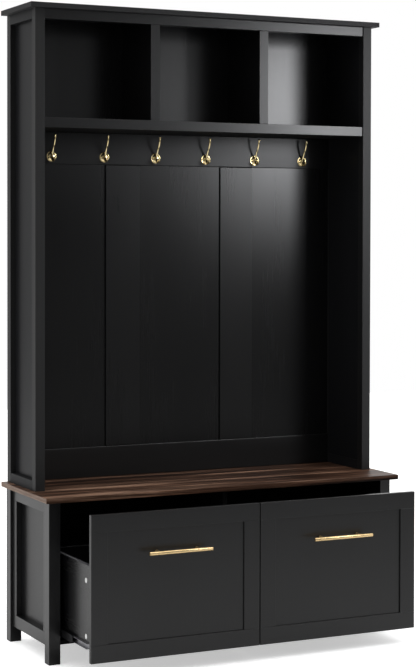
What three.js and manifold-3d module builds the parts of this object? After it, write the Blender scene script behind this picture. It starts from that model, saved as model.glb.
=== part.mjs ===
// Hall tree: a bench with two drawers on telescopic runners, and an open hutch above it with a
// hook rail and three cubbies. Millimetres, +Z up, -Y to the front, +X to the right.
// The design is laid out from the rear plane, y = 0, and from the middle, x = 0. The whole group
// is then moved back, so that the origin lies on the floor under the middle of the part's box.
// The drawers stand open by DRAWER_PULL.
import * as THREE from 'three';
import { mergeVertices } from 'three/addons/utils/BufferGeometryUtils.js';
import Module from 'manifold-3d';

const wasm = await Module();
wasm.setup();

// Overall frame
const TOTAL_HEIGHT = 1950;
const BOARD_WIDTH = 1200; // bench top and crown board
const BOARD = 15; // thickness of the main boards
const LEG = 36; // square legs of the bench
const POST = 30; // square posts, and the other thick members of the hutch
const BENCH_HALF_WIDTH = 583; // middle to the outside of the legs
const BENCH_INNER_HALF = BENCH_HALF_WIDTH - LEG;
const HUTCH_HALF_WIDTH = 580; // middle to the outside of the posts
const HUTCH_INNER_HALF = HUTCH_HALF_WIDTH - POST;
const SIDES = [['left', -1], ['right', 1]];

// Bench
const BENCH_TOP_Z = 494;
const BENCH_TOP_DEPTH = 394;
const LEG_HEIGHT = BENCH_TOP_Z - BOARD;
const BENCH_DEPTH = 370; // front of the front legs
const BENCH_SIDE_SETBACK = 8; // side frame behind the outside of the legs
const BENCH_SIDE_BACKING = 9;
const BENCH_SIDE_Z = 49; // lower edge of the side frame
const SIDE_RAIL_HEIGHT = 38;
const SIDE_STILE_WIDTH = 33;
const CARCASS_FRONT = 352; // front edges of the floor board, partition and runners
const FLOOR_Z = 54;
const FLOOR_BOARD = 12;
const BENCH_BACK_FACE = 12; // front face of the bench's back panel
const BENCH_BACK_BOARD = 6;
const PARTITION_BOARD = 15;

// Hutch
const HUTCH_TOP_Z = TOTAL_HEIGHT - BOARD;
const HUTCH_DEPTH = 250;
const CUBBY_DEPTH = 246; // fronts of the shelf, dividers and front rail, just behind the posts
const CROWN_DEPTH = 268;
const HUTCH_PANEL_RECESS = 16.5; // side panel behind the outside of its posts
const HUTCH_BACK_FACE = 22; // front face of the hutch's back panel
const HUTCH_BACK_BOARD = 12;
const RAISED_BOARD = 6; // rails and battens laid on the back panel
const SHELF_Z = 1581.5; // underside of the cubby shelf
const SHELF_HEIGHT = 30;
const DIVIDER_HALF_GAP = 173; // middle to the near face of a divider
const HOOK_RAIL_HEIGHT = 100;
const BACK_BOTTOM_RAIL_HEIGHT = 96;
const BATTEN_INNER_EDGE = 143.5;
const BATTEN_WIDTH = 117;

// Drawers
const DRAWER_PULL = 217; // how far the drawers stand open
const DRAWER_FRONT_BOARD = 15;
const DRAWER_FRONT_Z = [47, 469.5];
const DRAWER_FRONT_X = [1.5, 538.5]; // right-hand drawer
const DRAWER_FRAME_WIDTH = 51; // border round the recessed field
const DRAWER_FIELD_DEPTH = 5;
const DRAWER_BOX_BOARD = 12;
const DRAWER_BOX_LENGTH = 333;
const DRAWER_BOX_Z = [84, 322];
const DRAWER_BOTTOM_Z = 88;
const DRAWER_BOTTOM_BOARD = 5;

// Telescopic runners: three C sections of thin steel, one inside the other
const RUNNER_SPACE = 13; // between a carcass wall and the drawer box
const RUNNER_LENGTH = 300;
const RUNNER_STEEL = 1;
const RUNNER_MIDDLE_Z = 92.5;
const CABINET_MEMBER = { near: 0, far: 9, height: 28 };
const CARRIAGE_MEMBER = { near: 1.75, far: 10, height: 23 };
const DRAWER_MEMBER = { near: 4.5, far: RUNNER_SPACE, height: 16 };
const RUNNER_NOSE = 8; // rounding at the front corners of each web

// T-bar handles
const HANDLE_LENGTH = 200;
const HANDLE_SPACING = 128;
const HANDLE_RADIUS = 6;
const HANDLE_POST_RADIUS = 5;
const HANDLE_STANDOFF = 32; // drawer field to the axis of the bar
const HANDLE_Z = 352;
const HANDLE_CHAMFER = 1;

// Coat hooks
const HOOK_PITCH = 178;
const HOOK_COUNT = 6;
const HOOK_Z = 1505;
const ROSETTE_RADIUS = 16.5;
const ROSETTE_EDGE = 2;
const ROSETTE_DOME = 5.5;
const PRONG_RADIUS = 2.75;
const UPPER_BALL_RADIUS = 4;
const LOWER_BALL_RADIUS = 3.75;
// Routes as [distance out from the rail, height above the rosette's middle]
const UPPER_PRONG = [[4, -6], [7, 4], [11, 15], [18, 26.5], [26, 38], [32, 51.5], [34, 65]];
const LOWER_PRONG = [[5, 2], [8, -8], [14, -13.5], [22, -13.5], [29, -7]];

const FINISHES = {
  blackPaint: { color: 0x1b1c1e, roughness: 0.3, metalness: 0 },
  blackLaminate: { color: 0x141416, roughness: 0.4, metalness: 0 },
  walnut: { color: 0x4a3228, roughness: 0.4, metalness: 0 },
  gold: { color: 0xd9b36a, roughness: 0.25, metalness: 1 },
  steel: { color: 0x9a9c9e, roughness: 0.35, metalness: 1 },
};

const HANDLE_REACH = HANDLE_STANDOFF - DRAWER_FIELD_DEPTH + HANDLE_RADIUS;
const TOTAL_DEPTH = BENCH_DEPTH + DRAWER_PULL + HANDLE_REACH;

const hallTree = new THREE.Group();
hallTree.name = 'hall_tree';
hallTree.position.y = TOTAL_DEPTH / 2;

// Ranges are [low, high] pairs. outward() gives an x range on one side of the middle, and
// before() gives a y range from distances in front of the rear plane.
function outward(sign, near, far) {
  return sign > 0 ? [near, far] : [-far, -near];
}

function before(near, far) {
  return [-far, -near];
}

function middle(range) {
  return (range[0] + range[1]) / 2;
}

function addMesh(name, finish, geometry, position = [0, 0, 0]) {
  const mesh = new THREE.Mesh(geometry, new THREE.MeshStandardMaterial(FINISHES[finish]));
  mesh.name = name;
  mesh.position.set(...position);
  hallTree.add(mesh);
}

function boxGeometry(x, y, z) {
  return new THREE.BoxGeometry(x[1] - x[0], y[1] - y[0], z[1] - z[0]);
}

function addBoard(name, finish, x, y, z) {
  addMesh(name, finish, boxGeometry(x, y, z), [middle(x), middle(y), middle(z)]);
}

// Booleans: a closed geometry becomes a solid, and a solid becomes a flat-shaded geometry again.
function signedVolume(position, triangles) {
  const [a, b, c] = [new THREE.Vector3(), new THREE.Vector3(), new THREE.Vector3()];
  let total = 0;
  for (let i = 0; i < triangles.length; i += 3) {
    a.fromBufferAttribute(position, triangles[i]);
    b.fromBufferAttribute(position, triangles[i + 1]);
    c.fromBufferAttribute(position, triangles[i + 2]);
    total += a.dot(b.cross(c)) / 6;
  }
  return total;
}

function toSolid(source) {
  const bare = source.clone();
  bare.deleteAttribute('normal');
  bare.deleteAttribute('uv');
  const merged = mergeVertices(bare, 1e-4);
  const triangles = Uint32Array.from(merged.index.array);
  if (signedVolume(merged.attributes.position, triangles) < 0) {
    triangles.reverse();
  }
  const vertices = Float32Array.from(merged.attributes.position.array);
  const mesh = new wasm.Mesh({ numProp: 3, vertProperties: vertices, triVerts: triangles });
  return new wasm.Manifold(mesh);
}

function toGeometry(solid) {
  const mesh = solid.getMesh();
  const geometry = new THREE.BufferGeometry();
  geometry.setAttribute('position', new THREE.BufferAttribute(mesh.vertProperties, 3));
  geometry.setIndex(new THREE.BufferAttribute(mesh.triVerts, 1));
  geometry.computeVertexNormals();
  return geometry;
}

function boxSolid(x, y, z) {
  return toSolid(boxGeometry(x, y, z).translate(middle(x), middle(y), middle(z)));
}

function joined(solids) {
  return solids.reduce((total, solid) => total.add(solid));
}

// Bench: four legs, framed sides, floor board, partition, back panel and top.
function addBench() {
  const inner = [-BENCH_INNER_HALF, BENCH_INNER_HALF];
  const half = BOARD_WIDTH / 2;
  const carcassY = before(BENCH_BACK_FACE, CARCASS_FRONT);
  const floorZ = [FLOOR_Z, FLOOR_Z + FLOOR_BOARD];
  const partition = PARTITION_BOARD / 2;
  for (const [side, sign] of SIDES) {
    const legX = outward(sign, BENCH_INNER_HALF, BENCH_HALF_WIDTH);
    const frontY = before(BENCH_DEPTH - LEG, BENCH_DEPTH);
    addBoard(`bench_leg_front_${side}`, 'blackPaint', legX, frontY, [0, LEG_HEIGHT]);
    addBoard(`bench_leg_rear_${side}`, 'blackPaint', legX, before(0, LEG), [0, LEG_HEIGHT]);
    addMesh(`bench_side_panel_${side}`, 'blackPaint', toGeometry(benchSideSolid(sign)));
  }
  addBoard('bench_floor', 'blackLaminate', inner, carcassY, floorZ);
  addBoard('bench_partition', 'blackLaminate', [-partition, partition], carcassY,
    [floorZ[1], LEG_HEIGHT]);
  addBoard('bench_back_panel', 'blackLaminate', inner,
    before(BENCH_BACK_FACE - BENCH_BACK_BOARD, BENCH_BACK_FACE), [FLOOR_Z, LEG_HEIGHT]);
  addBoard('bench_top', 'walnut', [-half, half], before(0, BENCH_TOP_DEPTH),
    [LEG_HEIGHT, BENCH_TOP_Z]);
}

// A backing board with rails and stiles glued round its outer face, made as one panel.
function benchSideSolid(sign) {
  const backing = BENCH_INNER_HALF + BENCH_SIDE_BACKING;
  const face = BENCH_HALF_WIDTH - BENCH_SIDE_SETBACK;
  const whole = boxSolid(outward(sign, BENCH_INNER_HALF, face),
    before(LEG, BENCH_DEPTH - LEG), [BENCH_SIDE_Z, LEG_HEIGHT]);
  const field = boxSolid(outward(sign, backing, face + 1),
    before(LEG + SIDE_STILE_WIDTH, BENCH_DEPTH - LEG - SIDE_STILE_WIDTH),
    [BENCH_SIDE_Z + SIDE_RAIL_HEIGHT, LEG_HEIGHT - SIDE_RAIL_HEIGHT]);
  return whole.subtract(field);
}

// Hutch: posts and framed sides, panelled back, hook rail, shelf, dividers and crown board.
function addHutch() {
  addHutchSides();
  addHutchBack();
  addCubbies();
  const half = BOARD_WIDTH / 2;
  addBoard('crown_board', 'blackPaint', [-half, half], before(0, CROWN_DEPTH),
    [HUTCH_TOP_Z, TOTAL_HEIGHT]);
}

function addHutchSides() {
  const fullZ = [BENCH_TOP_Z, HUTCH_TOP_Z];
  const betweenPosts = before(POST, HUTCH_DEPTH - POST);
  const panelOutside = HUTCH_HALF_WIDTH - HUTCH_PANEL_RECESS;
  for (const [side, sign] of SIDES) {
    const postX = outward(sign, HUTCH_INNER_HALF, HUTCH_HALF_WIDTH);
    const panelX = outward(sign, HUTCH_INNER_HALF, panelOutside);
    addBoard(`hutch_post_front_${side}`, 'blackPaint', postX,
      before(HUTCH_DEPTH - POST, HUTCH_DEPTH), fullZ);
    addBoard(`hutch_post_rear_${side}`, 'blackPaint', postX, before(0, POST), fullZ);
    addBoard(`hutch_side_bottom_rail_${side}`, 'blackPaint', postX, betweenPosts,
      [BENCH_TOP_Z, BENCH_TOP_Z + POST]);
    addBoard(`hutch_side_top_rail_${side}`, 'blackPaint', postX, betweenPosts,
      [HUTCH_TOP_Z - POST, HUTCH_TOP_Z]);
    addBoard(`hutch_side_panel_${side}`, 'blackPaint', panelX, betweenPosts,
      [BENCH_TOP_Z + POST, HUTCH_TOP_Z - POST]);
  }
}

function addHutchBack() {
  const inner = [-HUTCH_INNER_HALF, HUTCH_INNER_HALF];
  const raisedY = before(HUTCH_BACK_FACE, HUTCH_BACK_FACE + RAISED_BOARD);
  const bottomRailTop = BENCH_TOP_Z + BACK_BOTTOM_RAIL_HEIGHT;
  const hookRailBottom = SHELF_Z - HOOK_RAIL_HEIGHT;
  addBoard('hutch_back_panel', 'blackPaint', inner,
    before(HUTCH_BACK_FACE - HUTCH_BACK_BOARD, HUTCH_BACK_FACE), [BENCH_TOP_Z, HUTCH_TOP_Z]);
  addBoard('hutch_back_bottom_rail', 'blackPaint', inner, raisedY, [BENCH_TOP_Z, bottomRailTop]);
  addBoard('hook_rail', 'blackPaint', inner, raisedY, [hookRailBottom, SHELF_Z]);
  for (const [side, sign] of SIDES) {
    addBoard(`hutch_back_batten_${side}`, 'blackPaint',
      outward(sign, BATTEN_INNER_EDGE, BATTEN_INNER_EDGE + BATTEN_WIDTH), raisedY,
      [bottomRailTop, hookRailBottom]);
  }
}

function addCubbies() {
  const inner = [-HUTCH_INNER_HALF, HUTCH_INNER_HALF];
  addBoard('cubby_shelf', 'blackPaint', inner, before(HUTCH_BACK_FACE, CUBBY_DEPTH),
    [SHELF_Z, SHELF_Z + SHELF_HEIGHT]);
  addBoard('cubby_front_rail', 'blackPaint', inner, before(CUBBY_DEPTH - POST, CUBBY_DEPTH),
    [HUTCH_TOP_Z - POST, HUTCH_TOP_Z]);
  for (const [side, sign] of SIDES) {
    const [left] = outward(sign, DIVIDER_HALF_GAP, DIVIDER_HALF_GAP + POST);
    addMesh(`cubby_divider_${side}`, 'blackPaint', dividerGeometry(), [left, 0, 0]);
  }
}

// A thick board, notched at its upper front corner round the front rail.
function dividerGeometry() {
  const shelfTop = SHELF_Z + SHELF_HEIGHT;
  const railBottom = HUTCH_TOP_Z - POST;
  const outline = new THREE.Shape();
  outline.moveTo(-HUTCH_BACK_FACE, shelfTop);
  outline.lineTo(-HUTCH_BACK_FACE, HUTCH_TOP_Z);
  outline.lineTo(POST - CUBBY_DEPTH, HUTCH_TOP_Z);
  outline.lineTo(POST - CUBBY_DEPTH, railBottom);
  outline.lineTo(-CUBBY_DEPTH, railBottom);
  outline.lineTo(-CUBBY_DEPTH, shelfTop);
  outline.closePath();
  return extrudeAlongX(outline, POST);
}

// Extrudes an outline drawn in (y, z) towards +X, from x = 0.
function extrudeAlongX(outline, length) {
  const geometry = new THREE.ExtrudeGeometry(outline, { depth: length, bevelEnabled: false });
  const toYZ = new THREE.Matrix4().set(0, 0, 1, 0, 1, 0, 0, 0, 0, 1, 0, 0, 0, 0, 0, 1);
  return geometry.applyMatrix4(toYZ);
}

// Drawers: each has a framed front, an open box of thin boards and a handle.
function addDrawers() {
  const frontY = before(BENCH_DEPTH - DRAWER_FRONT_BOARD + DRAWER_PULL, BENCH_DEPTH + DRAWER_PULL);
  const boxRear = -frontY[1] - DRAWER_BOX_LENGTH;
  const boxY = before(boxRear, -frontY[1]);
  const wallSide = BENCH_INNER_HALF - RUNNER_SPACE;
  const partitionSide = PARTITION_BOARD / 2 + RUNNER_SPACE;
  const insideNear = partitionSide + DRAWER_BOX_BOARD;
  const insideFar = wallSide - DRAWER_BOX_BOARD;
  const bottomTop = DRAWER_BOTTOM_Z + DRAWER_BOTTOM_BOARD;
  for (const [side, sign] of SIDES) {
    const insideX = outward(sign, insideNear, insideFar);
    const frontX = outward(sign, ...DRAWER_FRONT_X);
    addMesh(`drawer_front_${side}`, 'blackPaint', toGeometry(drawerFrontSolid(frontX, frontY)));
    addBoard(`drawer_outer_side_${side}`, 'blackLaminate', outward(sign, insideFar, wallSide),
      boxY, DRAWER_BOX_Z);
    addBoard(`drawer_inner_side_${side}`, 'blackLaminate',
      outward(sign, partitionSide, insideNear), boxY, DRAWER_BOX_Z);
    addBoard(`drawer_back_${side}`, 'blackLaminate', insideX,
      before(boxRear, boxRear + DRAWER_BOX_BOARD), [bottomTop, DRAWER_BOX_Z[1]]);
    addBoard(`drawer_bottom_${side}`, 'blackLaminate', insideX, boxY,
      [DRAWER_BOTTOM_Z, bottomTop]);
    addMesh(`drawer_handle_${side}`, 'gold', handleGeometry(),
      [middle(frontX), frontY[0] + DRAWER_FIELD_DEPTH, HANDLE_Z]);
  }
}

function drawerFrontSolid(x, y) {
  const [low, high] = DRAWER_FRONT_Z;
  const field = boxSolid([x[0] + DRAWER_FRAME_WIDTH, x[1] - DRAWER_FRAME_WIDTH],
    [y[0] - 1, y[0] + DRAWER_FIELD_DEPTH],
    [low + DRAWER_FRAME_WIDTH, high - DRAWER_FRAME_WIDTH]);
  return boxSolid(x, y, [low, high]).subtract(field);
}

// The bar lies along X in front of two posts. The posts stand on the drawer field at y = 0.
function handleGeometry() {
  const half = HANDLE_LENGTH / 2;
  const face = HANDLE_RADIUS - HANDLE_CHAMFER;
  const shoulder = half - HANDLE_CHAMFER;
  const profile = [[0, -half], [face, -half], [HANDLE_RADIUS, -shoulder],
    [HANDLE_RADIUS, shoulder], [face, half], [0, half]];
  const points = profile.map(([radius, along]) => new THREE.Vector2(radius, along));
  const bar = new THREE.LatheGeometry(points, 20);
  bar.rotateZ(Math.PI / 2).translate(0, -HANDLE_STANDOFF, 0);
  const posts = [-1, 1].map((sign) => {
    const post = new THREE.CylinderGeometry(HANDLE_POST_RADIUS, HANDLE_POST_RADIUS,
      HANDLE_STANDOFF, 16);
    return toSolid(post.translate(sign * HANDLE_SPACING / 2, -HANDLE_STANDOFF / 2, 0));
  });
  return toGeometry(joined([toSolid(bar), ...posts]));
}

// Runners: one set on the outer wall and one on the partition for each drawer. The cabinet member
// stays on its wall, the carriage follows at half the travel, and the third member goes with
// the drawer.
function addRunners() {
  const length = before(CARCASS_FRONT - RUNNER_LENGTH, CARCASS_FRONT);
  for (const [side, sign] of SIDES) {
    const places = [['outer', BENCH_INNER_HALF, -sign], ['inner', PARTITION_BOARD / 2, sign]];
    for (const [place, wall, inward] of places) {
      const x = sign * wall;
      const name = `${place}_${side}`;
      addMesh(`runner_cabinet_${name}`, 'steel',
        channelGeometry(CABINET_MEMBER, 'near', inward), [x, length[0], 0]);
      addMesh(`runner_carriage_${name}`, 'steel',
        channelGeometry(CARRIAGE_MEMBER, 'near', inward), [x, length[0] - DRAWER_PULL / 2, 0]);
      addMesh(`runner_drawer_${name}`, 'steel',
        channelGeometry(DRAWER_MEMBER, 'far', inward), [x, length[0] - DRAWER_PULL, 0]);
    }
  }
}

// A C section with its web at the near or far side of the wall at x = 0. It runs back from its
// front end at y = 0, and its web has rounded corners at the front.
function channelGeometry(member, webAt, inward) {
  const low = RUNNER_MIDDLE_Z - member.height / 2;
  const high = RUNNER_MIDDLE_Z + member.height / 2;
  const webNear = webAt === 'near' ? member.near : member.far - RUNNER_STEEL;
  const web = new THREE.Shape();
  web.moveTo(RUNNER_LENGTH, low);
  web.lineTo(RUNNER_LENGTH, high);
  web.lineTo(RUNNER_NOSE, high);
  web.absarc(RUNNER_NOSE, high - RUNNER_NOSE, RUNNER_NOSE, Math.PI / 2, Math.PI, false);
  web.absarc(RUNNER_NOSE, low + RUNNER_NOSE, RUNNER_NOSE, Math.PI, 3 * Math.PI / 2, false);
  web.closePath();
  const plate = extrudeAlongX(web, RUNNER_STEEL);
  plate.translate(inward > 0 ? webNear : -webNear - RUNNER_STEEL, 0, 0);
  const flangeX = outward(inward, member.near, member.far);
  const flangeY = [RUNNER_NOSE, RUNNER_LENGTH];
  return toGeometry(joined([
    toSolid(plate),
    boxSolid(flangeX, flangeY, [low, low + RUNNER_STEEL]),
    boxSolid(flangeX, flangeY, [high - RUNNER_STEEL, high]),
  ]));
}

// Coat hooks: a domed rosette with a long upper prong and a short lower one, each with a ball.
function addHooks() {
  const railFace = HUTCH_BACK_FACE + RAISED_BOARD;
  const first = -HOOK_PITCH * (HOOK_COUNT - 1) / 2;
  for (let i = 0; i < HOOK_COUNT; i += 1) {
    addMesh(`coat_hook_${i + 1}`, 'gold', hookGeometry(),
      [first + i * HOOK_PITCH, -railFace, HOOK_Z]);
  }
}

function hookGeometry() {
  const shoulder = (ROSETTE_RADIUS + ROSETTE_EDGE) / 2;
  const profile = [[0, 0], [ROSETTE_RADIUS, 0], [ROSETTE_RADIUS, ROSETTE_EDGE],
    [ROSETTE_RADIUS - 1.5, ROSETTE_EDGE + 1.5], [shoulder, ROSETTE_DOME - 0.5], [0, ROSETTE_DOME]];
  const points = profile.map(([radius, out]) => new THREE.Vector2(radius, out));
  const rosette = new THREE.LatheGeometry(points, 16).rotateX(Math.PI);
  return toGeometry(joined([
    toSolid(rosette),
    ...prongSolids(UPPER_PRONG, UPPER_BALL_RADIUS),
    ...prongSolids(LOWER_PRONG, LOWER_BALL_RADIUS),
  ]));
}

// A round bar along a smooth route, with a ball on its end.
function prongSolids(route, ballRadius) {
  const points = route.map(([out, up]) => new THREE.Vector3(0, -out, up));
  const section = new THREE.Shape().absarc(0, 0, PRONG_RADIUS, 0, 2 * Math.PI, false);
  const bar = new THREE.ExtrudeGeometry(section, {
    extrudePath: new THREE.CatmullRomCurve3(points),
    steps: route.length + 3,
    curveSegments: 4,
  });
  const end = points[points.length - 1];
  const ball = new THREE.SphereGeometry(ballRadius, 10, 7).translate(end.x, end.y, end.z);
  return [toSolid(bar), toSolid(ball)];
}

addBench();
addHutch();
addDrawers();
addRunners();
addHooks();

export default hallTree;
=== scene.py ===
import math

import bmesh
import bpy
from mathutils import Matrix, Vector


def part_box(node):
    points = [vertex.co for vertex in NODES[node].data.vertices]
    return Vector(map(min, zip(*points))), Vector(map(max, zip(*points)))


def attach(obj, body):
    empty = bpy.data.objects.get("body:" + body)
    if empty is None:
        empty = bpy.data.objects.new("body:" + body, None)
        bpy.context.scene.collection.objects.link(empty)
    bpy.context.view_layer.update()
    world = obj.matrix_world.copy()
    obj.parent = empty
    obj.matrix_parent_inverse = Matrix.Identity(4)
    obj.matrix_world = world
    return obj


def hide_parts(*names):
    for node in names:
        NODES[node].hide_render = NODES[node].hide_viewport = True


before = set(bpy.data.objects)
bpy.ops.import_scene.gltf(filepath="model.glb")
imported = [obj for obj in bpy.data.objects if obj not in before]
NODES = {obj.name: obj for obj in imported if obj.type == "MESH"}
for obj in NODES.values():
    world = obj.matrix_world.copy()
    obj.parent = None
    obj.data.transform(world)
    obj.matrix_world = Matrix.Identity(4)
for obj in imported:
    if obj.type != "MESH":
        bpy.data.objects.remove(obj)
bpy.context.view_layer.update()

MM = 0.001
SIDES = {"left": -1, "right": 1}

# Boards: how far their edges are rounded, and how the framed ones are put together
BOARD_EDGE = 1.1 * MM
RAISED_EDGE = 2.2 * MM
JOINT_EDGE = 0.9 * MM
RUNNER_EDGE = 0.12 * MM
EDGE_ANGLE = 40.0
FIELD_TUCK = 3 * MM
FIELD_BACK_GAP = 0.5 * MM
FRONT_RAIL = 51 * MM
FRONT_RECESS = 5 * MM
PANEL_RAIL = 38 * MM
PANEL_STILE = 33 * MM
PANEL_BACKING = 9 * MM
SHELF_BAND = 3 * MM

# Coat hooks: heights above the lower edge of the rail, then [out, up] from the centre of the rosette
HOOK_COUNT = 6
HOOK_CENTRE_UP = 23.5 * MM
ROSETTE_PROFILE = [(0, 0), (16.5, 0), (16.5, 1.3), (15.9, 2.0), (14.6, 2.3), (13.8, 2.0), (13.0, 2.1)]
ROSETTE_DOME = [(11.8, 3.2), (9.8, 4.2), (7.2, 5.0), (4.0, 5.4), (0, 5.5)]
UPPER_ROUTE = [
    (3.5, -7), (6.5, 0), (9, 8), (13, 17.5), (19, 28),
    (26, 38), (31, 49.5), (33, 58), (33.6, 63),
]
UPPER_RADII = [3.6, 3.9, 3.5, 3.2, 3.1, 3.1, 3.0, 2.8, 2.5]
LOWER_ROUTE = [(4, 4), (7, -3), (10, -10), (15, -13.8), (21, -13.6), (25.5, -10.8), (28, -8.2)]
LOWER_RADII = [3.4, 3.9, 3.6, 3.2, 3.0, 2.8, 2.5]
UPPER_BALL = (34, 65, 4.0)
LOWER_BALL = (29, -7, 3.75)
STEM_BOSS = {"radius": 5.2, "place": (0, -6.0, -3.0), "stretch": (1, 0.62, 1.45, 1)}
HOOK_SCREW_OUT = 10.8
HOOK_SCREW_RADIUS = 2.7
HOOK_SCREW_SEAT = 3.2

# Drawer handles
HANDLE_RADIUS = 5.5
HANDLE_AXIS = 6.0
HANDLE_CHAMFER = 1.0
HANDLE_POST_RADIUS = 5.0
HANDLE_POST_SPREAD = 64 * MM
HANDLE_POST_NECK = 0.25
HANDLE_POST_INTO_BAR = 2
HANDLE_SCREW_RADIUS = 4.2

# Covers of the cam locks in the drawer sides, from the drawer front's back face and above the floor
COVER_RADIUS = 7.5
COVER_THICK = 0.9
COVER_RIM = 2.2
COVER_BACK = 34 * MM
COVER_HEIGHTS = (116 * MM, 277 * MM)

# Camera
CAMERA_PLACE = (-2.42719, -4.90389, 1.27630)
CAMERA_YAW = 26.2264
CAMERA_PITCH = -1.3249
CAMERA_ROLL = 0.1157
CAMERA_LENS = 95.69
CAMERA_SHIFT = (-0.01193, -0.09381)


# ---------------------------------------------------------------- node materials

def new_material(name):
    """A new material, its node tree and its Principled shader."""
    material = bpy.data.materials.new(name)
    material.use_nodes = True
    tree = material.node_tree
    shader = tree.nodes["Principled BSDF"]
    return material, tree, shader


def add_node(tree, kind, links=None, values=None, **settings):
    """A node with its settings, its unlinked input values and the sockets linked into it."""
    node = tree.nodes.new(kind)
    for key, value in settings.items():
        setattr(node, key, value)
    for key, value in (values or {}).items():
        node.inputs[key].default_value = value
    for key, source in (links or {}).items():
        tree.links.new(source, node.inputs[key])
    return node


def math_node(tree, operation, first, second=None):
    """Output of a math node on one or two values, each a socket or a number."""
    links = {}
    values = {}
    for place, value in enumerate((first, second)):
        if isinstance(value, bpy.types.NodeSocket):
            links[place] = value
        elif value is not None:
            values[place] = value
    return add_node(tree, "ShaderNodeMath", links, values, operation=operation).outputs[0]


def object_coordinates(tree, scale):
    """Coordinates fixed to the object, stretched so that noise turns into streaks along one axis."""
    place = add_node(tree, "ShaderNodeTexCoord")
    mapped = add_node(tree, "ShaderNodeMapping", {"Vector": place.outputs["Object"]}, {"Scale": scale})
    return mapped.outputs["Vector"]


def separate(tree, which):
    """Outputs X, Y and Z of one kind of texture coordinates."""
    source = add_node(tree, "ShaderNodeTexCoord")
    return add_node(tree, "ShaderNodeSeparateXYZ", {"Vector": source.outputs[which]}).outputs


def noise(tree, scale, detail=4.0, roughness=0.55, distortion=0.0, per_board=True):
    """Noise of its own on every board, 0 to 1."""
    links = {"Vector": object_coordinates(tree, scale)}
    if per_board:
        info = add_node(tree, "ShaderNodeObjectInfo")
        links["W"] = math_node(tree, "MULTIPLY", info.outputs["Random"], 37.0)
    values = {"Scale": 1.0, "Detail": detail, "Roughness": roughness, "Distortion": distortion}
    made = add_node(tree, "ShaderNodeTexNoise", links, values, noise_dimensions="4D")
    return made.outputs["Fac"]


def ramp(tree, source, stops):
    node = add_node(tree, "ShaderNodeValToRGB", {"Fac": source})
    elements = node.color_ramp.elements
    while len(elements) < len(stops):
        elements.new(0.5)
    for element, (place, colour) in zip(elements, stops):
        element.position = place
        element.color = (*colour, 1.0)
    return node.outputs["Color"]


def mix_colours(tree, first, second, factor, blend="MIX"):
    """Colour mix whose three inputs are each a socket or a value."""
    node = add_node(tree, "ShaderNodeMix", data_type="RGBA", blend_type=blend)
    for key, value in (("Factor", factor), ("A", first), ("B", second)):
        if isinstance(value, bpy.types.NodeSocket):
            tree.links.new(value, node.inputs[key])
        else:
            node.inputs[key].default_value = value
    return node.outputs["Result"]


def map_range(tree, source, low, high, to_low, to_high, smooth=False):
    values = {"From Min": low, "From Max": high, "To Min": to_low, "To Max": to_high}
    kind = "SMOOTHSTEP" if smooth else "LINEAR"
    node = add_node(tree, "ShaderNodeMapRange", {"Value": source}, values, interpolation_type=kind)
    return node.outputs["Result"]


def bump(tree, source, height, normal=None):
    """Bump of that height in metres."""
    links = {"Height": source}
    if normal is not None:
        links["Normal"] = normal
    node = add_node(tree, "ShaderNodeBump", links, {"Strength": 1.0, "Distance": height})
    return node.outputs["Normal"]


def stretched(axis, along, across):
    """Scale with few waves along the axis and many across it."""
    return tuple(along if i == "XYZ".index(axis) else across for i in range(3))


def black_board(name, axis, tones, gloss, streak_height, specular, painted_top_highlight=None):
    """Satin black over a faint wood grain along one axis; the optional top tone paints a highlight on
    upward-facing faces.
    """
    material, tree, shader = new_material(name)
    streaks = noise(tree, stretched(axis, 5.0, 170.0), 5.0, 0.6)
    broad = noise(tree, stretched(axis, 1.6, 7.0), 2.0)
    fine = noise(tree, (1400.0, 1400.0, 1400.0), 2.0, 0.6, per_board=False)
    colour = ramp(tree, streaks, [(0.25, tones[0]), (0.75, tones[1])])
    # Painted highlight: upward-facing faces take the paler top tone.
    if painted_top_highlight is not None:
        upward = map_range(tree, separate(tree, "Normal")["Z"], 0.5, 0.9, 0.0, 1.0)
        colour = mix_colours(tree, colour, (*painted_top_highlight, 1.0), upward)
    tree.links.new(colour, shader.inputs["Base Color"])
    roughness = map_range(tree, broad, 0.3, 0.7, gloss[0], gloss[1])
    streaky = map_range(tree, streaks, 0.25, 0.75, -0.012, 0.012)
    tree.links.new(math_node(tree, "ADD", roughness, streaky), shader.inputs["Roughness"])
    grain = bump(tree, streaks, streak_height)
    tree.links.new(bump(tree, fine, 0.004 * MM, grain), shader.inputs["Normal"])
    shader.inputs["IOR"].default_value = 1.5
    shader.inputs["Specular IOR Level"].default_value = specular
    return material


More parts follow.
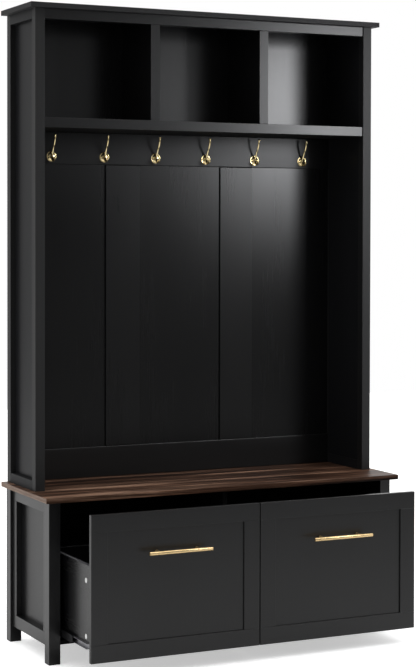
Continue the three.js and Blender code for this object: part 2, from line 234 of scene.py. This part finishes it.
def walnut_board(name, axis, light):
    """Printed walnut: long dark and light streaks, fine pores and, on the end faces, a paler tone."""
    material, tree, shader = new_material(name)
    figure = noise(tree, stretched(axis, 1.1, 24.0), 5.0, 0.66, 0.6)
    bands = noise(tree, stretched(axis, 2.6, 85.0), 4.0, 0.6, 0.25)
    pores = noise(tree, stretched(axis, 26.0, 760.0), 3.0, 0.7)
    wide = ramp(tree, figure, [
        (0.36, (0.012, 0.006, 0.004)),
        (0.45, (0.044, 0.022, 0.014)),
        (0.53, (0.098, 0.052, 0.033)),
        (0.63, (0.300, 0.185, 0.128)),
    ])
    narrow = ramp(tree, bands, [
        (0.36, (0.30, 0.27, 0.25)),
        (0.50, (0.92, 0.92, 0.92)),
        (0.64, (1.75, 1.68, 1.62)),
    ])
    pore_tone = ramp(tree, pores, [(0.30, (0.55, 0.50, 0.46)), (0.46, (1.0, 1.0, 1.0))])
    streaky = mix_colours(tree, wide, narrow, 1.0, "MULTIPLY")
    pored = mix_colours(tree, streaky, pore_tone, 1.0, "MULTIPLY")
    # End faces get a paler streaked tone of their own.
    endwise = math_node(tree, "ABSOLUTE", separate(tree, "Normal")[axis])
    end_face_streaks = noise(tree, stretched("Y", 9.0, 240.0), 4.0, 0.6)
    end_face_tone = ramp(tree, end_face_streaks, [
        (0.32, (0.13, 0.080, 0.056)),
        (0.52, (0.21, 0.145, 0.110)),
        (0.70, (0.30, 0.22, 0.175)),
    ])
    ends = mix_colours(tree, pored, end_face_tone, map_range(tree, endwise, 0.6, 0.8, 0.0, 1.0))
    toned = add_node(tree, "ShaderNodeHueSaturation", {"Color": ends}, {"Value": light})
    tree.links.new(toned.outputs["Color"], shader.inputs["Base Color"])
    tree.links.new(map_range(tree, bands, 0.3, 0.7, 0.38, 0.50), shader.inputs["Roughness"])
    grain = bump(tree, bands, 0.02 * MM)
    tree.links.new(bump(tree, pores, 0.02 * MM, grain), shader.inputs["Normal"])
    shader.inputs["Specular IOR Level"].default_value = 0.09
    return material


def metal(name, tones, gloss, brushed, height):
    """Metal with faint uneven polish; brushed is the streaks' scale on each axis."""
    material, tree, shader = new_material(name)
    streaks = noise(tree, brushed, 4.0, 0.6)
    broad = noise(tree, (90.0, 90.0, 90.0), 2.0)
    tree.links.new(ramp(tree, broad, [(0.3, tones[0]), (0.7, tones[1])]), shader.inputs["Base Color"])
    tree.links.new(map_range(tree, streaks, 0.3, 0.7, gloss[0], gloss[1]), shader.inputs["Roughness"])
    tree.links.new(bump(tree, streaks, height), shader.inputs["Normal"])
    shader.inputs["Metallic"].default_value = 1.0
    return material


def moulded_plastic(name, tones):
    material, tree, shader = new_material(name)
    cloud = noise(tree, (160.0, 160.0, 160.0), 3.0)
    fine = noise(tree, (2600.0, 2600.0, 2600.0), 2.0)
    tree.links.new(ramp(tree, cloud, [(0.3, tones[0]), (0.7, tones[1])]), shader.inputs["Base Color"])
    tree.links.new(map_range(tree, cloud, 0.3, 0.7, 0.34, 0.46), shader.inputs["Roughness"])
    tree.links.new(bump(tree, fine, 0.01 * MM), shader.inputs["Normal"])
    return material


# Darkest and lightest tone of each kind of board
PAINT_TONES = ((0.0028, 0.0028, 0.0031), (0.0048, 0.0048, 0.0052))
LAMINATE_TONES = ((0.0022, 0.0022, 0.0024), (0.0036, 0.0036, 0.0040))
SIDE_TONES = ((0.0098, 0.0100, 0.0110), (0.0126, 0.0128, 0.0140))
# Paler tone painted on the drawer boards' upward-facing edges: a painted highlight.
DRAWER_PAINTED_TOP_HIGHLIGHT = (0.090, 0.090, 0.095)
CROWN_TONES = ((0.0150, 0.0150, 0.0158), (0.0195, 0.0195, 0.0205))


def black_set(name, axes, *finish):
    """The same finish with its grain along each of the axes."""
    return {axis: black_board(name + "_" + axis.lower(), axis, *finish) for axis in axes}


# Each finish: tones, roughness, height of its grain and specular level
PAINT = black_set("black_paint", "XYZ", PAINT_TONES, (0.31, 0.35), 0.007 * MM, 0.55)
ROUGH_PAINT = black_set("black_paint_matt", "XZ", PAINT_TONES, (0.31, 0.35), 0.007 * MM, 0.37)
POST_PAINT = black_board("black_paint_posts", "Z", PAINT_TONES, (0.56, 0.62), 0.006 * MM, 0.52)
SIDE_PAINT = black_board("black_paint_side", "Y", SIDE_TONES, (0.50, 0.56), 0.006 * MM, 0.16)
BATTEN_PAINT = black_board("black_paint_battens", "Z", PAINT_TONES, (0.27, 0.31), 0.004 * MM, 0.48)
LEG_PAINT = black_board("black_paint_legs", "Z", PAINT_TONES, (0.29, 0.33), 0.006 * MM, 0.62)
LAMINATE = black_set("black_laminate", "YZ", LAMINATE_TONES, (0.25, 0.28), 0.003 * MM, 0.46)
SIDE_LAMINATE = black_board("black_laminate_side", "Z", SIDE_TONES, (0.30, 0.36), 0.004 * MM, 0.07)
CROWN_LAMINATE = black_board("black_laminate_crown", "X", CROWN_TONES, (0.66, 0.72), 0.006 * MM, 0.32)
# The drawer boards' finish also carries their painted top highlight tone.
DRAWER_FINISH = (LAMINATE_TONES, (0.25, 0.28), 0.002 * MM, 0.5, DRAWER_PAINTED_TOP_HIGHLIGHT)
DRAWER_BOARD = black_set("black_drawer_board", "XY", *DRAWER_FINISH)
INSIDE_BOARD = black_board("black_board_inside", "X", LAMINATE_TONES, (0.62, 0.70), 0.004 * MM, 0.2)
WALNUT = walnut_board("walnut_laminate", "X", 1.02)

BRASS_TONES = ((1.0, 0.79, 0.40), (1.0, 0.85, 0.50))
GOLD_TONES = ((0.92, 0.66, 0.33), (0.97, 0.72, 0.38))
# Near-black steel for the runners' cabinet members and carriages: a painted shade, the same steel as the
# drawer members shown dark as if in shadow.
PAINTED_SHADE_STEEL_TONES = ((0.012, 0.012, 0.013), (0.020, 0.020, 0.022))
ZINC_TONES = ((0.26, 0.26, 0.28), (0.36, 0.36, 0.38))
POLISHED = (300.0, 300.0, 300.0)
BRUSHED_ALONG_X = (30.0, 900.0, 900.0)
BRUSHED_ALONG_Y = (900.0, 30.0, 900.0)
BRASS = metal("polished_brass", BRASS_TONES, (0.07, 0.14), POLISHED, 0.004 * MM)
SATIN_GOLD = metal("satin_gold", GOLD_TONES, (0.24, 0.32), BRUSHED_ALONG_X, 0.006 * MM)
# Painted shade: a dark copy of the zinc steel for the runner parts in shadow.
PAINTED_SHADE_STEEL = metal("painted_shade_steel", PAINTED_SHADE_STEEL_TONES, (0.36, 0.48), BRUSHED_ALONG_Y, 0.006 * MM)
STEEL = metal("zinc_steel", ZINC_TONES, (0.28, 0.40), BRUSHED_ALONG_Y, 0.006 * MM)
WHITE_PLASTIC = moulded_plastic("white_plastic", ((0.80, 0.80, 0.79), (0.88, 0.88, 0.87)))


# ---------------------------------------------------------------- mesh helpers

def finish_mesh(name, bm, material, smooth_degrees=EDGE_ANGLE):
    """An object from the bmesh, smooth but for edges sharper than that angle."""
    mesh = bpy.data.meshes.new(name)
    bmesh.ops.recalc_face_normals(bm, faces=bm.faces[:])
    bm.to_mesh(mesh)
    bm.free()
    mesh.polygons.foreach_set("use_smooth", [True] * len(mesh.polygons))
    mesh.set_sharp_from_angle(angle=math.radians(smooth_degrees))
    mesh.materials.append(material)
    piece = bpy.data.objects.new(name, mesh)
    bpy.context.scene.collection.objects.link(piece)
    return piece


def place(piece, body, slot, *replaced):
    """Hangs a piece on its body, in place of the CAD nodes that it replaces, which it hides. slot is not
    used.
    """
    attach(piece, body)
    if replaced:
        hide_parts(*replaced)
    return piece


def board(name, low, high, material, body, slot, *replaced):
    """A board with softened edges, between two corners."""
    bm = bmesh.new()
    bmesh.ops.create_cube(bm, size=1.0)
    low, high = Vector(low), Vector(high)
    for vertex in bm.verts:
        vertex.co = Vector(c * s for c, s in zip(vertex.co, high - low)) + (low + high) / 2
    bmesh.ops.bevel(bm, geom=bm.edges[:], offset=JOINT_EDGE, segments=3, profile=0.5, affect="EDGES")
    piece = finish_mesh(name, bm, material, 60.0)
    piece.modifiers.new("flat_faces", "WEIGHTED_NORMAL").mode = "FACE_AREA"
    return place(piece, body, slot, *replaced)


def add_lathe(bm, profile, matrix, segments=40):
    """Turns [radius, height] round the matrix's Z axis. The profile starts and ends on the axis."""
    rings = []
    for radius, height in profile:
        if radius == 0:
            rings.append([bm.verts.new(matrix @ Vector((0, 0, height)))])
            continue
        ring = []
        for i in range(segments):
            turn = 2 * math.pi * i / segments
            point = Vector((radius * math.cos(turn), radius * math.sin(turn), height))
            ring.append(bm.verts.new(matrix @ point))
        rings.append(ring)
    for first, second in zip(rings, rings[1:]):
        for i in range(segments):
            j = (i + 1) % segments
            near = [first[k % len(first)] for k in (i, j)]
            far = [second[k % len(second)] for k in (j, i)]
            unique = list(dict.fromkeys(near + far))
            bm.faces.new(unique)


def ball_profile(radius, steps=12):
    """Half circle for add_lathe, from pole to pole."""
    turns = [math.pi * i / steps for i in range(steps + 1)]
    points = [(radius * math.sin(t), -radius * math.cos(t)) for t in turns]
    return [(0, points[0][1]), *points[1:-1], (0, points[-1][1])]


def smooth_route(points, radii, steps=6):
    """Catmull-Rom curve through points with their radii."""
    padded = [points[0], *points, points[-1]]
    sizes = [radii[0], *radii, radii[-1]]
    out = []
    for i in range(len(points) - 1):
        window = [Vector(p) for p in padded[i:i + 4]]
        size = sizes[i:i + 4]
        for k in range(steps):
            t = k / steps
            weights = (
                -0.5 * t + t * t - 0.5 * t ** 3,
                1 - 2.5 * t * t + 1.5 * t ** 3,
                0.5 * t + 2 * t * t - 1.5 * t ** 3,
                -0.5 * t * t + 0.5 * t ** 3,
            )
            point = sum((w * p for w, p in zip(weights, window)), Vector((0, 0, 0)))
            out.append((point, sum(w * s for w, s in zip(weights, size))))
    out.append((Vector(points[-1]), radii[-1]))
    return out


def add_sweep(bm, route, side, matrix, segments=20):
    """A round rod along a route in one plane; side is that plane's normal."""
    rings = []
    for i, (point, radius) in enumerate(route):
        ahead = route[min(i + 1, len(route) - 1)][0]
        behind = route[max(i - 1, 0)][0]
        across = (ahead - behind).normalized().cross(side).normalized()
        ring = []
        for k in range(segments):
            turn = 2 * math.pi * k / segments
            offset = across * (radius * math.cos(turn)) + side * (radius * math.sin(turn))
            ring.append(bm.verts.new(matrix @ (point + offset)))
        rings.append(ring)
    for first, second in zip(rings, rings[1:]):
        for k in range(segments):
            j = (k + 1) % segments
            bm.faces.new([first[k], first[j], second[j], second[k]])
    bm.faces.new(rings[0][::-1])
    bm.faces.new(rings[-1])


def frame_at(origin, forward, size=MM):
    """Matrix whose Z axis points forward, at that origin, in millimetres."""
    turn = Vector(forward).to_track_quat("Z", "Y").to_matrix().to_4x4()
    return Matrix.Translation(Vector(origin)) @ turn @ Matrix.Scale(size, 4)


# ---------------------------------------------------------------- carried-over CAD boards

def soften_edges(node, width):
    """Joins the imported faces and rounds the edges, with modifiers only."""
    weld = node.modifiers.new("join_faces", "WELD")
    weld.merge_threshold = 0.01 * MM
    bevel = node.modifiers.new("softened_edges", "BEVEL")
    bevel.width = width
    bevel.segments = 3
    bevel.limit_method = "ANGLE"
    bevel.angle_limit = math.radians(EDGE_ANGLE)
    bevel.harden_normals = True


def carry_over(node_name, material, width=BOARD_EDGE):
    node = NODES[node_name]
    for material_slot in node.material_slots:
        material_slot.link = "OBJECT"
        material_slot.material = material
    soften_edges(node, width)


CARRIED = {
    "bench_floor": INSIDE_BOARD,
    "bench_partition": INSIDE_BOARD,
    "bench_back_panel": INSIDE_BOARD,
    "bench_top": WALNUT,
    "crown_board": CROWN_LAMINATE,
    "hutch_back_panel": LAMINATE["Z"],
    "hutch_back_bottom_rail": PAINT["X"],
    "hook_rail": ROUGH_PAINT["X"],
    "cubby_front_rail": PAINT["X"],
}
SIDE_CARRIED = {
    "bench_leg_front": LEG_PAINT,
    "bench_leg_rear": LEG_PAINT,
    "hutch_post_front": POST_PAINT,
    "hutch_post_rear": POST_PAINT,
    "hutch_side_bottom_rail": SIDE_PAINT,
    "hutch_side_top_rail": SIDE_PAINT,
    "hutch_side_panel": SIDE_LAMINATE,
    "hutch_back_batten": BATTEN_PAINT,
    "cubby_divider": PAINT["Z"],
    "drawer_outer_side": DRAWER_BOARD["Y"],
    "drawer_inner_side": DRAWER_BOARD["Y"],
    "drawer_back": DRAWER_BOARD["X"],
    "drawer_bottom": LAMINATE["Y"],
}
# Cabinet members and carriages take the near-black steel, a painted shade; the drawer members keep the zinc.
RUNNER_PARTS = {"runner_cabinet": PAINTED_SHADE_STEEL, "runner_carriage": PAINTED_SHADE_STEEL, "runner_drawer": STEEL}

RAISED = ("hutch_back_bottom_rail", "hook_rail", "hutch_back_batten")

for name, material in CARRIED.items():
    carry_over(name, material, RAISED_EDGE if name in RAISED else BOARD_EDGE)
for side in SIDES:
    for name, material in SIDE_CARRIED.items():
        carry_over(name + "_" + side, material, RAISED_EDGE if name in RAISED else BOARD_EDGE)
    for name, material in RUNNER_PARTS.items():
        for which in ("outer", "inner"):
            carry_over("_".join((name, which, side)), material, RUNNER_EDGE)


# ---------------------------------------------------------------- framed boards

def drawer_front(side):
    """Two through rails, two stiles between them and a sunk field."""
    node = "drawer_front_" + side
    body = "drawer_" + side
    low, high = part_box(node)
    inner_low, inner_high = low.x + FRONT_RAIL, high.x - FRONT_RAIL
    bottom, top = low.z + FRONT_RAIL, high.z - FRONT_RAIL
    parts = {
        "top_rail": ((low.x, low.y, top), (high.x, high.y, high.z), PAINT["X"]),
        "bottom_rail": ((low.x, low.y, low.z), (high.x, high.y, bottom), PAINT["X"]),
        "stile_a": ((low.x, low.y, bottom), (inner_low, high.y, top), PAINT["Z"]),
        "stile_b": ((inner_high, low.y, bottom), (high.x, high.y, top), PAINT["Z"]),
    }
    for part, (corner, opposite, material) in parts.items():
        board("_".join(("drawer", part, side)), corner, opposite, material, body, "black_paint", node)
    corner = (inner_low - FIELD_TUCK, low.y + FRONT_RECESS, bottom - FIELD_TUCK)
    opposite = (inner_high + FIELD_TUCK, high.y - FIELD_BACK_GAP, top + FIELD_TUCK)
    board("drawer_field_" + side, corner, opposite, PAINT["Z"], body, "black_paint", node)


def bench_side(side):
    """Framed side of the bench: two through rails, two stiles and a thin field behind them."""
    node = "bench_side_panel_" + side
    sign = SIDES[side]
    low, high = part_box(node)
    outer = low.x if sign < 0 else high.x
    inner = high.x if sign < 0 else low.x
    bottom, top = low.z + PANEL_RAIL, high.z - PANEL_RAIL
    front, rear = low.y + PANEL_STILE, high.y - PANEL_STILE
    span = (min(outer, inner), max(outer, inner))
    parts = {
        "top_rail": ((low.y, high.y), (top, high.z), PAINT["Y"]),
        "bottom_rail": ((low.y, high.y), (low.z, bottom), PAINT["Y"]),
        "stile_front": ((low.y, front), (bottom, top), PAINT["Z"]),
        "stile_rear": ((rear, high.y), (bottom, top), PAINT["Z"]),
    }
    for part, (depth, height, material) in parts.items():
        corner = (span[0], depth[0], height[0])
        opposite = (span[1], depth[1], height[1])
        name = "_".join(("bench_side", part, side))
        board(name, corner, opposite, material, "root", "black_paint", node)
    face = inner + sign * PANEL_BACKING
    back = inner + sign * FIELD_BACK_GAP
    span = (min(face, back), max(face, back))
    corner = (span[0], front - FIELD_TUCK, bottom - FIELD_TUCK)
    opposite = (span[1], rear + FIELD_TUCK, top + FIELD_TUCK)
    board("bench_side_field_" + side, corner, opposite, ROUGH_PAINT["Z"], "root", "black_paint", node)


def cubby_shelf():
    """Shelf board with a painted band along its front edge."""
    low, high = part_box("cubby_shelf")
    band = low.y + SHELF_BAND
    board("shelf_band", low, (high.x, band, high.z), PAINT["X"], "root", "black_paint", "cubby_shelf")
    board("shelf_board", (low.x, band, low.z), high, INSIDE_BOARD, "root", "black_paint", "cubby_shelf")


for side in SIDES:
    drawer_front(side)
    bench_side(side)
cubby_shelf()


# ---------------------------------------------------------------- coat hooks

def screw_profile(radius, height):
    """Domed head with a round recess in its middle."""
    return [
        (0, 0), (radius, 0), (radius, 0.35 * height), (0.85 * radius, 0.7 * height),
        (0.6 * radius, 0.93 * height), (0.42 * radius, height), (0.36 * radius, 0.55 * height),
        (0, 0.5 * height),
    ]


def coat_hook(number):
    """Round rosette, a stem that forks into a long upper prong and a short lower one, and two screws."""
    node = "coat_hook_" + str(number)
    low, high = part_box(node)
    rail_low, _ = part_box("hook_rail")
    centre = Vector(((low.x + high.x) / 2, rail_low.y, rail_low.z + HOOK_CENTRE_UP))
    out = frame_at(centre, (0, -1, 0))
    upright = Matrix.Translation(centre) @ Matrix.Scale(MM, 4)
    side = Vector((1, 0, 0))

    bm = bmesh.new()
    add_lathe(bm, ROSETTE_PROFILE + ROSETTE_DOME, out, 56)
    for route, radii, ball in (
        (UPPER_ROUTE, UPPER_RADII, UPPER_BALL),
        (LOWER_ROUTE, LOWER_RADII, LOWER_BALL),
    ):
        points = [(0, -forward, up) for forward, up in route]
        add_sweep(bm, smooth_route(points, radii), side, upright)
        forward, up, radius = ball
        add_lathe(bm, ball_profile(radius), upright @ Matrix.Translation((0, -forward, up)), 28)
        add_lathe(bm, ball_profile(1.02 * radii[0], 8), upright @ Matrix.Translation(points[0]), 20)
    boss = Matrix.Translation(STEM_BOSS["place"]) @ Matrix.Diagonal(STEM_BOSS["stretch"])
    add_lathe(bm, ball_profile(STEM_BOSS["radius"]), upright @ boss, 32)
    place(finish_mesh("hook_body_" + str(number), bm, BRASS, 50.0), "root", "gold", node)

    bm = bmesh.new()
    for way in (-1, 1):
        seat = out @ Matrix.Translation((way * HOOK_SCREW_OUT, 0, HOOK_SCREW_SEAT))
        add_lathe(bm, screw_profile(HOOK_SCREW_RADIUS, 2.0), seat, 24)
    place(finish_mesh("hook_screws_" + str(number), bm, BRASS), "root", "gold")


for number in range(1, HOOK_COUNT + 1):
    coat_hook(number)


# ---------------------------------------------------------------- drawer handles and fittings

def drawer_handle(side):
    """Round bar with chamfered ends on two posts, fixed from inside with two screws."""
    node = "drawer_handle_" + side
    body = "drawer_" + side
    low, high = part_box(node)
    front_low, front_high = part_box("drawer_front_" + side)
    face = front_low.y + FRONT_RECESS
    axis_y = low.y + HANDLE_AXIS * MM
    centre = Vector(((low.x + high.x) / 2, axis_y, (low.z + high.z) / 2))
    half = (high.x - low.x) / 2 / MM
    radius, chamfer = HANDLE_RADIUS, HANDLE_CHAMFER
    bm = bmesh.new()
    bar = [
        (0, -half), (radius - chamfer, -half), (radius - 0.3 * chamfer, -half + 0.35 * chamfer),
        (radius, -half + chamfer), (radius, 0), (radius, half - chamfer),
        (radius - 0.3 * chamfer, half - 0.35 * chamfer), (radius - chamfer, half), (0, half),
    ]
    add_lathe(bm, bar, frame_at(centre, (1, 0, 0)), 48)
    reach = (face - axis_y) / MM
    post = HANDLE_POST_RADIUS
    neck = post - HANDLE_POST_NECK
    end = reach - HANDLE_POST_INTO_BAR
    stem = [(0, 0.3), (post, 0.3), (post, 0.8), (neck, 1.2), (neck, end), (0, end)]
    for way in (-1, 1):
        foot = (centre.x + way * HANDLE_POST_SPREAD, face, centre.z)
        add_lathe(bm, stem, frame_at(foot, (0, -1, 0)), 32)
    place(finish_mesh("handle_bar_" + side, bm, SATIN_GOLD, 35.0), body, "gold", node)

    bm = bmesh.new()
    for way in (-1, 1):
        seat = (centre.x + way * HANDLE_POST_SPREAD, front_high.y, centre.z)
        add_lathe(bm, screw_profile(HANDLE_SCREW_RADIUS, 2.2), frame_at(seat, (0, 1, 0)), 28)
    place(finish_mesh("handle_screws_" + side, bm, STEEL), body, "runner_steel")


def cam_covers(side):
    """White caps over the cam locks, on the outer face of both drawer sides."""
    body = "drawer_" + side
    _, front_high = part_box("drawer_front_" + side)
    cap = [
        (0, 0), (COVER_RADIUS, 0), (COVER_RADIUS, 0.4 * COVER_THICK), (COVER_RADIUS - 0.5, COVER_THICK),
        (COVER_RADIUS - COVER_RIM, COVER_THICK), (COVER_RADIUS - COVER_RIM - 0.3, 0.7 * COVER_THICK),
        (0, 0.7 * COVER_THICK),
    ]
    for which, away in (("outer", SIDES[side]), ("inner", -SIDES[side])):
        low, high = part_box("_".join(("drawer", which, "side", side)))
        face = high.x if away > 0 else low.x
        bm = bmesh.new()
        for height in COVER_HEIGHTS:
            seat = (face, front_high.y + COVER_BACK, height)
            add_lathe(bm, cap, frame_at(seat, (away, 0, 0)), 32)
        name = "_".join(("cam_covers", which, side))
        place(finish_mesh(name, bm, WHITE_PLASTIC), body, "white_plastic")


for side in SIDES:
    drawer_handle(side)
    cam_covers(side)


# ---------------------------------------------------------------- floor, surroundings and lights

# Key light: its lower left and upper right corners, the stretch of its height over which it fades, and its
# level from left to right as (X, share of full brightness)
KEY_CORNERS = ((-0.10, -1.19, 1.20), (1.42, -1.19, 2.10))
KEY_RADIANCE = 15.5
KEY_FADE = (-0.50, 0.12)
KEY_LOW = 0.07
KEY_GRADE = [
    (-0.10, 0.015), (0.20, 0.021), (0.50, 0.038), (0.75, 0.065),
    (0.90, 0.10), (0.965, 0.21), (0.99, 1.0), (1.42, 1.0),
]
KEY_COLOUR = (0.965, 0.975, 1.0, 1.0)

# Floor: its reflected tone far in front, in front and behind, the Y ranges between them, and what is left of
# it under the object, where reflections see a painted shade
FLOOR_HALF = 7.0
FLOOR_TONES = (0.04, 0.46, 0.84)
FLOOR_FRONT_FADE = (-3.6, -2.3)
FLOOR_NEAR_FADE = (-2.9, 0.1)
# The next two set a painted shade on the floor under the object, seen only in reflections: its share and
# where it fades.
FLOOR_PAINTED_SHADE = 0.12
PAINTED_SHADE_FADE = {"X": (0.52, 0.60), "Y": (0.20, 0.30)}
FLOOR_GLOW = 0.50


def floor_material():
    """Pale floor. Reflections see a painted shade under the object, and the floor darker towards the front.
    """
    material, tree, shader = new_material("pale_floor")
    cloud = noise(tree, (0.7, 0.7, 0.7), 2.0, per_board=False)
    pale = map_range(tree, cloud, 0.3, 0.7, 0.90, 0.92)
    axes = separate(tree, "Object")
    far_tone, front_tone, back_tone = FLOOR_TONES
    near = map_range(tree, axes["Y"], *FLOOR_NEAR_FADE, front_tone, back_tone)
    far = map_range(tree, axes["Y"], *FLOOR_FRONT_FADE, far_tone / front_tone, 1.0, smooth=True)
    paper = math_node(tree, "MULTIPLY", near, far)
    # Painted shade: under the object the reflected floor tone drops to a small share.
    outside = []
    for axis, (inner, outer) in PAINTED_SHADE_FADE.items():
        away = math_node(tree, "ABSOLUTE", axes[axis])
        outside.append(map_range(tree, away, inner, outer, FLOOR_PAINTED_SHADE, 1.0, smooth=True))
    shade = math_node(tree, "MAXIMUM", *outside)
    level = math_node(tree, "MULTIPLY", paper, shade)
    path = add_node(tree, "ShaderNodeLightPath")
    tone = add_node(tree, "ShaderNodeMix", {"Factor": path.outputs["Is Camera Ray"]}, data_type="FLOAT")
    tree.links.new(level, tone.inputs[2])
    tree.links.new(pale, tone.inputs[3])
    grey = add_node(tree, "ShaderNodeCombineColor", {i: tone.outputs[0] for i in range(3)})
    tree.links.new(grey.outputs[0], shader.inputs["Base Color"])
    shader.inputs["Roughness"].default_value = 0.9
    shader.inputs["Specular IOR Level"].default_value = 0.1
    shader.inputs["Emission Color"].default_value = (1, 1, 1, 1)
    glow = math_node(tree, "MULTIPLY", path.outputs["Is Camera Ray"], FLOOR_GLOW)
    tree.links.new(glow, shader.inputs["Emission Strength"])
    return material


def make_floor():
    bm = bmesh.new()
    bmesh.ops.create_grid(bm, x_segments=4, y_segments=4, size=FLOOR_HALF)
    mesh = bpy.data.meshes.new("studio_floor")
    bm.to_mesh(mesh)
    bm.free()
    mesh.materials.append(floor_material())
    floor = bpy.data.objects.new("studio_floor", mesh)
    bpy.context.scene.collection.objects.link(floor)


def softbox(name, low, high, radiance):
    """A glowing upright rectangle that faces the object, dimmer to the left and low down.

    The camera doesn't see it.
    """
    bm = bmesh.new()
    bmesh.ops.create_grid(bm, x_segments=1, y_segments=1, size=0.5)
    mesh = bpy.data.meshes.new(name)
    bm.to_mesh(mesh)
    bm.free()
    material = bpy.data.materials.new(name + "_glow")
    material.use_nodes = True
    tree = material.node_tree
    tree.nodes.remove(tree.nodes["Principled BSDF"])
    axes = separate(tree, "Object")
    across = map_range(tree, axes["X"], 0.5, -0.5, 0.0, 1.0)
    width = high[0] - low[0]
    stops = [((x - low[0]) / width, (share, share, share)) for x, share in KEY_GRADE]
    graded = ramp(tree, across, stops)
    upward = map_range(tree, axes["Y"], *KEY_FADE, KEY_LOW * radiance, radiance, smooth=True)
    level = math_node(tree, "MULTIPLY", graded, upward)
    glow = add_node(tree, "ShaderNodeEmission", {"Strength": level}, {"Color": KEY_COLOUR})
    tree.links.new(glow.outputs[0], tree.nodes["Material Output"].inputs["Surface"])
    mesh.materials.append(material)
    panel = bpy.data.objects.new(name, mesh)
    bpy.context.scene.collection.objects.link(panel)
    low, high = Vector(low), Vector(high)
    panel.location = (low + high) / 2
    panel.rotation_mode = "QUATERNION"
    panel.rotation_quaternion = Vector((0, 1, 0)).to_track_quat("Z", "Y")
    panel.scale = (high.x - low.x, high.z - low.z, 1)
    panel.visible_camera = False
    panel.visible_shadow = False


# Brightness of the surroundings: in front, on the left, behind, on the right and overhead
AROUND = {"front": 0.155, "left": 0.78, "back_left": 0.62, "back_right": 1.60, "right": 1.15, "top": 1.6}


def make_surroundings():
    """White seen directly, and for lighting a soft room that is dark in front of the object."""
    world = bpy.data.worlds.new("studio")
    bpy.context.scene.world = world
    world.use_nodes = True
    tree = world.node_tree
    tree.nodes.clear()
    axes = separate(tree, "Generated")
    x, y, z = (axes[a] for a in "XYZ")
    sideways = map_range(tree, x, -0.6, 0.6, AROUND["left"], AROUND["right"], smooth=True)
    backward = map_range(tree, y, 0.55, 0.95, 0.0, 1.0, smooth=True)
    behind = map_range(tree, x, -0.3, 0.3, AROUND["back_left"], AROUND["back_right"], smooth=True)
    around = add_node(tree, "ShaderNodeMix", {"Factor": backward}, data_type="FLOAT")
    tree.links.new(sideways, around.inputs[2])
    tree.links.new(behind, around.inputs[3])
    forward = map_range(tree, y, -0.75, -0.25, 1.0, 0.0, smooth=True)
    level = add_node(tree, "ShaderNodeMix", {"Factor": forward}, data_type="FLOAT")
    tree.links.new(around.outputs[0], level.inputs[2])
    level.inputs[3].default_value = AROUND["front"]
    upward = map_range(tree, z, 0.45, 0.85, 0.0, 1.0, smooth=True)
    total = add_node(tree, "ShaderNodeMix", {"Factor": upward}, data_type="FLOAT")
    tree.links.new(level.outputs[0], total.inputs[2])
    total.inputs[3].default_value = AROUND["top"]
    lighting = add_node(tree, "ShaderNodeBackground", {"Strength": total.outputs[0]})
    white = add_node(tree, "ShaderNodeBackground", values={"Strength": 1.0})
    for node in (lighting, white):
        node.inputs["Color"].default_value = (1, 1, 1, 1)
    path = add_node(tree, "ShaderNodeLightPath")
    either = add_node(tree, "ShaderNodeMixShader", {
        0: path.outputs["Is Camera Ray"], 1: lighting.outputs[0], 2: white.outputs[0],
    })
    add_node(tree, "ShaderNodeOutputWorld", {"Surface": either.outputs[0]})


make_floor()
make_surroundings()
softbox("key_softbox", *KEY_CORNERS, KEY_RADIANCE)


# ---------------------------------------------------------------- camera

def make_camera():
    data = bpy.data.cameras.new("photo_camera")
    data.sensor_width = 36.0
    data.lens = CAMERA_LENS
    data.shift_x, data.shift_y = CAMERA_SHIFT
    data.clip_start, data.clip_end = 0.1, 60.0
    camera = bpy.data.objects.new("photo_camera", data)
    bpy.context.scene.collection.objects.link(camera)
    yaw, pitch, roll = (math.radians(a) for a in (CAMERA_YAW, CAMERA_PITCH, CAMERA_ROLL))
    ahead = Vector((math.sin(yaw) * math.cos(pitch), math.cos(yaw) * math.cos(pitch), math.sin(pitch)))
    right = Vector((math.cos(yaw), -math.sin(yaw), 0))
    up = right.cross(ahead)
    turned_right = right * math.cos(roll) + up * math.sin(roll)
    turned_up = up * math.cos(roll) - right * math.sin(roll)
    camera.matrix_world = Matrix((
        (turned_right.x, turned_up.x, -ahead.x, CAMERA_PLACE[0]),
        (turned_right.y, turned_up.y, -ahead.y, CAMERA_PLACE[1]),
        (turned_right.z, turned_up.z, -ahead.z, CAMERA_PLACE[2]),
        (0, 0, 0, 1),
    ))
    bpy.context.scene.camera = camera


make_camera()
bpy.context.scene.view_settings.view_transform = "Standard"
bpy.context.view_layer.update()
